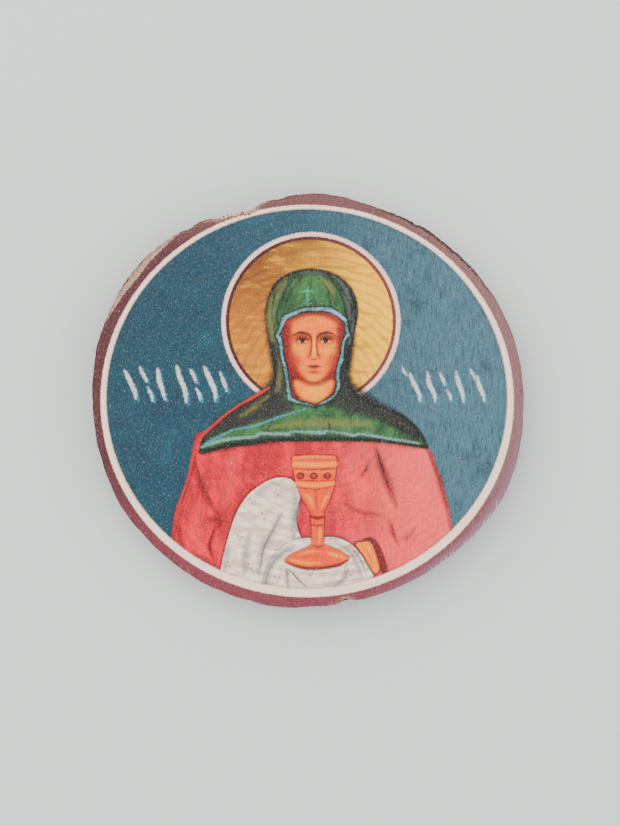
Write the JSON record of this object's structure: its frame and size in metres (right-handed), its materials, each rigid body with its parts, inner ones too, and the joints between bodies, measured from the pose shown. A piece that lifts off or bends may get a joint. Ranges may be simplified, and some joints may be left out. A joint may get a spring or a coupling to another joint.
{
  "type": "icon panel",
  "caption": "Oval slice of a branch with bark on its rim, its sawn face painted as a small devotional icon: a haloed, veiled half-length figure raising a chalice inside a pale ring",
  "frame": {"origin": "On the plane of the sawn back, under the middle of the bounding box, with the slice lying on its back", "axes": "+Z comes out of the painted face, +Y points to the top of the picture, +X to the viewer's right of the picture"},
  "size_m": [0.1036, 0.0998, 0.01],
  "materials": {
    "wood": "painted and varnished face, bark left on the rim, bare sawn back"
  },
  "bodies": {
    "root": {"wood_slice": "wood"}
  },
  "joints": []
}
